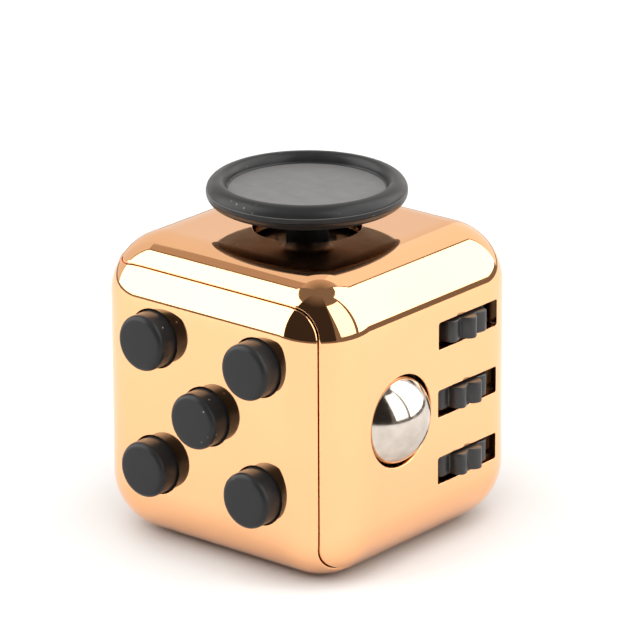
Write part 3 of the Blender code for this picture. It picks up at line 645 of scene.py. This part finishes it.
class Nodes:
    """A new material, and short ways to add and link its nodes."""

    def __init__(self, name):
        self.material = bpy.data.materials.new(name)
        self.material.use_nodes = True
        self.tree = self.material.node_tree
        self.shader = self.tree.nodes["Principled BSDF"]
        self.place = self.tree.nodes.new("ShaderNodeTexCoord").outputs["Object"]

    def link(self, source, target):
        self.tree.links.new(source, target)

    def noise(self, scale, detail=3.0):
        node = self.tree.nodes.new("ShaderNodeTexNoise")
        node.inputs["Scale"].default_value = scale
        node.inputs["Detail"].default_value = detail
        self.link(self.place, node.inputs["Vector"])
        return node.outputs["Fac"]

    def specks(self, scale, size):
        """1 in scattered round specks, 0 between them."""
        node = self.tree.nodes.new("ShaderNodeTexVoronoi")
        node.inputs["Scale"].default_value = scale
        self.link(self.place, node.inputs["Vector"])
        return self.ramp(node.outputs["Distance"], size * 0.6, 1.0, size, 0.0)

    def ramp(self, source, low, low_value, high, high_value):
        node = self.tree.nodes.new("ShaderNodeMapRange")
        node.inputs["From Min"].default_value = low
        node.inputs["From Max"].default_value = high
        node.inputs["To Min"].default_value = low_value
        node.inputs["To Max"].default_value = high_value
        self.link(source, node.inputs["Value"])
        return node.outputs["Result"]

    def times(self, a, b):
        node = self.tree.nodes.new("ShaderNodeMath")
        node.operation = "MULTIPLY"
        self.link(a, node.inputs[0])
        self.link(b, node.inputs[1])
        return node.outputs[0]

    def colour(self, share, a, b):
        node = self.tree.nodes.new("ShaderNodeMix")
        node.data_type = "RGBA"
        node.inputs["A"].default_value = (*a, 1)
        node.inputs["B"].default_value = (*b, 1)
        self.link(share, node.inputs["Factor"])
        self.link(node.outputs["Result"], self.shader.inputs["Base Color"])

    def roughness(self, share, low, high):
        self.link(self.ramp(share, 0.3, low, 0.7, high), self.shader.inputs["Roughness"])

    def bump(self, height, strength, distance):
        node = self.tree.nodes.new("ShaderNodeBump")
        node.inputs["Strength"].default_value = strength
        node.inputs["Distance"].default_value = distance
        self.link(height, node.inputs["Height"])
        self.link(node.outputs["Normal"], self.shader.inputs["Normal"])


MADE = {}


def once(build):
    """Each material is made once and shared."""

    def give():
        if build.__name__ not in MADE:
            MADE[build.__name__] = build()
        return MADE[build.__name__]

    return give


@once
def plating():
    nodes = Nodes("rose_gold_plating")
    nodes.shader.inputs["Metallic"].default_value = 1
    cloud = nodes.noise(90)
    nodes.colour(nodes.ramp(cloud, 0.3, 0, 0.7, 1), (0.985, 0.535, 0.271), (0.955, 0.515, 0.259))
    nodes.roughness(nodes.noise(260), 0.025, 0.06)
    nodes.bump(nodes.noise(420, 1.0), 0.05, 0.00001)
    return nodes.material


def soft_black(name, base):
    nodes = Nodes(name)
    dust = nodes.times(nodes.specks(900, 0.12), nodes.ramp(nodes.noise(160), 0.5, 0, 0.65, 1))
    nodes.shader.inputs["Specular IOR Level"].default_value = 0.27
    nodes.shader.inputs["Sheen Weight"].default_value = 0.045
    nodes.shader.inputs["Sheen Roughness"].default_value = 0.4
    nodes.colour(dust, base, (0.15, 0.145, 0.14))
    nodes.roughness(nodes.noise(500), 0.31, 0.41)
    nodes.bump(nodes.noise(6000, 2.0), 0.12, 0.00002)
    return nodes.material


@once
def rubber():
    return soft_black("black_rubber", (0.008, 0.008, 0.0085))


@once
def painted_sheen_rubber():
    """The disc's recess floor, given a lighter base colour than the other rubber: painted sheen that stands
    in for the bright grazing reflection on the flat floor.
    """
    return soft_black("painted_sheen_rubber", (0.068, 0.067, 0.066))


@once
def black_plastic():
    nodes = Nodes("black_plastic")
    nodes.colour(nodes.ramp(nodes.noise(300), 0.4, 0, 0.6, 1), (0.009, 0.0085, 0.0085), (0.017, 0.016, 0.016))
    nodes.roughness(nodes.noise(900), 0.3, 0.42)
    nodes.bump(nodes.noise(3500, 2.0), 0.08, 0.00002)
    return nodes.material


@once
def white_plastic():
    nodes = Nodes("white_plastic")
    nodes.colour(nodes.ramp(nodes.noise(200), 0.4, 0, 0.6, 1), (0.72, 0.71, 0.67), (0.78, 0.77, 0.73))
    nodes.roughness(nodes.noise(700), 0.38, 0.5)
    nodes.bump(nodes.noise(3000, 2.0), 0.08, 0.00002)
    return nodes.material


@once
def ball_steel():
    nodes = Nodes("ball_steel")
    nodes.shader.inputs["Metallic"].default_value = 1
    nodes.colour(nodes.ramp(nodes.noise(700), 0.35, 0, 0.65, 1), (0.62, 0.56, 0.5), (0.52, 0.465, 0.41))
    nodes.roughness(nodes.noise(1500, 4.0), 0.05, 0.16)
    nodes.bump(nodes.noise(2600, 3.0), 0.1, 0.00001)
    return nodes.material


@once
def plain_steel():
    nodes = Nodes("plain_steel")
    nodes.shader.inputs["Metallic"].default_value = 1
    nodes.colour(nodes.ramp(nodes.noise(800), 0.35, 0, 0.65, 1), (0.6, 0.6, 0.61), (0.5, 0.49, 0.48))
    nodes.roughness(nodes.noise(1800, 4.0), 0.22, 0.36)
    nodes.bump(nodes.noise(4000, 2.0), 0.08, 0.00001)
    return nodes.material


@once
def board_green():
    nodes = Nodes("board_green")
    nodes.colour(nodes.ramp(nodes.noise(900, 1.0), 0.45, 0, 0.55, 1), (0.02, 0.16, 0.06), (0.03, 0.22, 0.09))
    nodes.roughness(nodes.noise(900), 0.3, 0.45)
    nodes.bump(nodes.noise(2500, 1.0), 0.1, 0.00002)
    return nodes.material


SLOT_MATERIALS = {
    "plated_plastic": plating,
    "black_rubber": rubber,
    "black_plastic": black_plastic,
    "white_plastic": white_plastic,
    "polished_steel": ball_steel,
    "steel": plain_steel,
    "circuit_board": board_green,
}


def dress_frame():
    """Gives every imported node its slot's material."""
    for row in frame["record"]["subparts"]:
        node = frame["nodes"][row["node"]]
        dress(node, SLOT_MATERIALS[row["material_slot"]]())


# Studio


def emissive(name, strength, colour):
    material = bpy.data.materials.new(name)
    material.use_nodes = True
    tree = material.node_tree
    tree.nodes.remove(tree.nodes["Principled BSDF"])
    glow = tree.nodes.new("ShaderNodeEmission")
    glow.inputs["Strength"].default_value = strength
    glow.inputs["Color"].default_value = (*colour, 1)
    tree.links.new(glow.outputs[0], tree.nodes["Material Output"].inputs["Surface"])
    return material


DOME_R = 0.8
DOME_STEPS = 12
HAZE_LOW = 60
HAZE_RISE = 20
HAZE_STEPS = 8
FLOOR_R = 0.32
FLOOR_DROP = 0.05 * mm
FLOOR_COLOUR = (0.44, 0.438, 0.435, 1)
ROOM_COLOUR = (0.9, 0.8, 0.72, 1)
ROOM_STRENGTH = 0.25


def dome_part(name, low, high, strength, colour=(1, 0.985, 0.965), radius=DOME_R):
    """A glowing part of a dome round the cube, not seen by the camera itself.

    Its lower and upper edge are each given as the elevation and the two azimuths of its ends, in degrees
    from -Y towards +X.
    """
    bm = bmesh.new()
    rows = []
    for i in range(DOME_STEPS + 1):
        el, start, end = [math.radians(a + (b - a) * i / DOME_STEPS) for a, b in zip(low, high)]
        row = []
        for k in range(DOME_STEPS + 1):
            az = start + (end - start) * k / DOME_STEPS
            to = Vector((math.sin(az) * math.cos(el), -math.cos(az) * math.cos(el), math.sin(el)))
            row.append(bm.verts.new(CENTRE + radius * to))
        rows.append(row)
    for under, over in zip(rows, rows[1:]):
        for k in range(DOME_STEPS):
            bm.faces.new((under[k], under[k + 1], over[k + 1], over[k]))
    obj = from_bmesh(name, bm)
    obj.data.materials.append(emissive(name, strength, colour))
    obj.visible_camera = False
    return obj


def studio():
    """Soft boxes and a lit back wall, with dark gaps between them that the plating shows as brown lines."""
    wall = (1, 0.97, 0.94)
    brown = (1, 0.85, 0.75)
    dome_part("box_left", (-1.5, -80, -27), (59, -83, -25), 3.65)
    dome_part("box_right", (2.5, 112, 172), (68, 110, 168), 3.4)
    dome_part("box_side", (3.5, 77, 106), (60, 62, 104), 2.85)
    dome_part("wall_left", (-2, -106, -80.5), (50, -106, -86), 0.85, wall)
    dome_part("gap_left", (50, -106, -86), (60, -106, -87), 0.5, brown)
    dome_part("wall_back", (-2, -152, -106), (60, -152, -106), 0.9, wall)
    dome_part("wall_right", (-2, -188, -152), (60, -188, -152), 1.15, wall)
    room = [dome_part("room_front", (-1.5, -26, 68), (HAZE_LOW, -24, 60), 0.04, brown)]
    for step in range(HAZE_STEPS):
        low = HAZE_LOW + HAZE_RISE * step / HAZE_STEPS
        high = low + HAZE_RISE / HAZE_STEPS
        share = step / HAZE_STEPS
        dome_part(f"haze_back_{step}", (low, -188, -86), (high, -188, -86), 0.6 - 0.35 * share, brown)
        glow = 0.06 + 0.18 * share
        room.append(dome_part(f"haze_front_{step}", (low, -24, 60), (high, -24, 60), glow, brown))
    for part in room:
        part.visible_diffuse = False
        part.visible_shadow = False
    fill = dome_part("fill", (28, -180, 180), (90, -180, 180), 5.2, (1, 1, 1), 1.1 * DOME_R)
    fill.visible_glossy = False


def floor():
    bm = bmesh.new()
    bmesh.ops.create_circle(bm, cap_ends=True, segments=128, radius=FLOOR_R)
    obj = from_bmesh("studio_floor", bm)
    obj.location.z = -FLOOR_DROP
    material = bpy.data.materials.new("studio_floor")
    material.use_nodes = True
    shader = material.node_tree.nodes["Principled BSDF"]
    shader.inputs["Base Color"].default_value = FLOOR_COLOUR
    shader.inputs["Roughness"].default_value = 0.7
    obj.data.materials.append(material)


def world():
    """White behind everything for the camera, and dim for light and reflections."""
    made = bpy.data.worlds.new("studio")
    bpy.context.scene.world = made
    made.use_nodes = True
    tree = made.node_tree
    background = tree.nodes["Background"]
    background.inputs["Color"].default_value = ROOM_COLOUR
    background.inputs["Strength"].default_value = ROOM_STRENGTH
    white = tree.nodes.new("ShaderNodeBackground")
    mix = tree.nodes.new("ShaderNodeMixShader")
    path = tree.nodes.new("ShaderNodeLightPath")
    tree.links.new(path.outputs["Is Camera Ray"], mix.inputs["Fac"])
    tree.links.new(background.outputs[0], mix.inputs[1])
    tree.links.new(white.outputs[0], mix.inputs[2])
    tree.links.new(mix.outputs[0], tree.nodes["World Output"].inputs["Surface"])


def camera():
    az, el = CAMERA_AZIMUTH, CAMERA_ELEVATION
    back = Vector((math.sin(az) * math.cos(el), -math.cos(az) * math.cos(el), math.sin(el)))
    right = Vector((math.cos(az), math.sin(az), 0))
    up = back.cross(right)
    rolled_right = right * math.cos(CAMERA_ROLL) + up * math.sin(CAMERA_ROLL)
    rolled_up = up * math.cos(CAMERA_ROLL) - right * math.sin(CAMERA_ROLL)
    eye = CENTRE + back * CAMERA_DISTANCE
    aim = CENTRE + rolled_right * AIM_RIGHT + rolled_up * AIM_UP
    z_axis = (eye - aim).normalized()
    x_axis = rolled_up.cross(z_axis).normalized()
    y_axis = z_axis.cross(x_axis)
    data = bpy.data.cameras.new("camera")
    data.lens = CAMERA_LENS
    data.sensor_width = SENSOR_WIDE
    data.clip_start = 0.01
    data.clip_end = 20
    obj = add("camera", data)
    obj.matrix_world = Matrix.Translation(eye) @ Matrix((x_axis, y_axis, z_axis)).transposed().to_4x4()
    bpy.context.scene.camera = obj


def main():
    bpy.context.scene.view_settings.view_transform = "Standard"
    dress_frame()
    lower_case()
    upper_case()
    for node in BUTTONS:
        button(node)
    stick()
    for node in WHEEL_PHASES:
        wheel(node)
    ball()
    dial()
    rocker()
    studio()
    floor()
    world()
    camera()


main()
